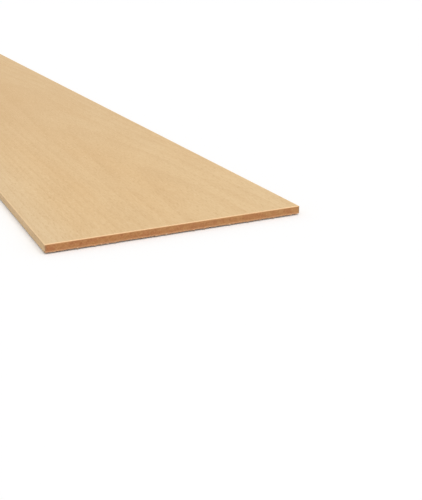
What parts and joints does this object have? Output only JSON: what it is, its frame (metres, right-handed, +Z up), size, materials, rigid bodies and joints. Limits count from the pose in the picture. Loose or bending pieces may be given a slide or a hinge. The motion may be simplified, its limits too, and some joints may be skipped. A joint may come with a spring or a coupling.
{
  "type": "basswood sheet",
  "caption": "Thin flat basswood sheet with smooth sanded faces and edges and square sawn ends, stock for cutting model and craft parts.",
  "frame": {"origin": "centre of the bottom face, which lies on the floor", "axes": "+Z up through the thickness, +Y along the grain and the sheet's length, +X across the grain along its width"},
  "size_m": [0.1016, 0.6096, 0.0032],
  "materials": {
    "basswood": "matte"
  },
  "bodies": {
    "root": {"basswood_sheet": "basswood"}
  },
  "joints": []
}
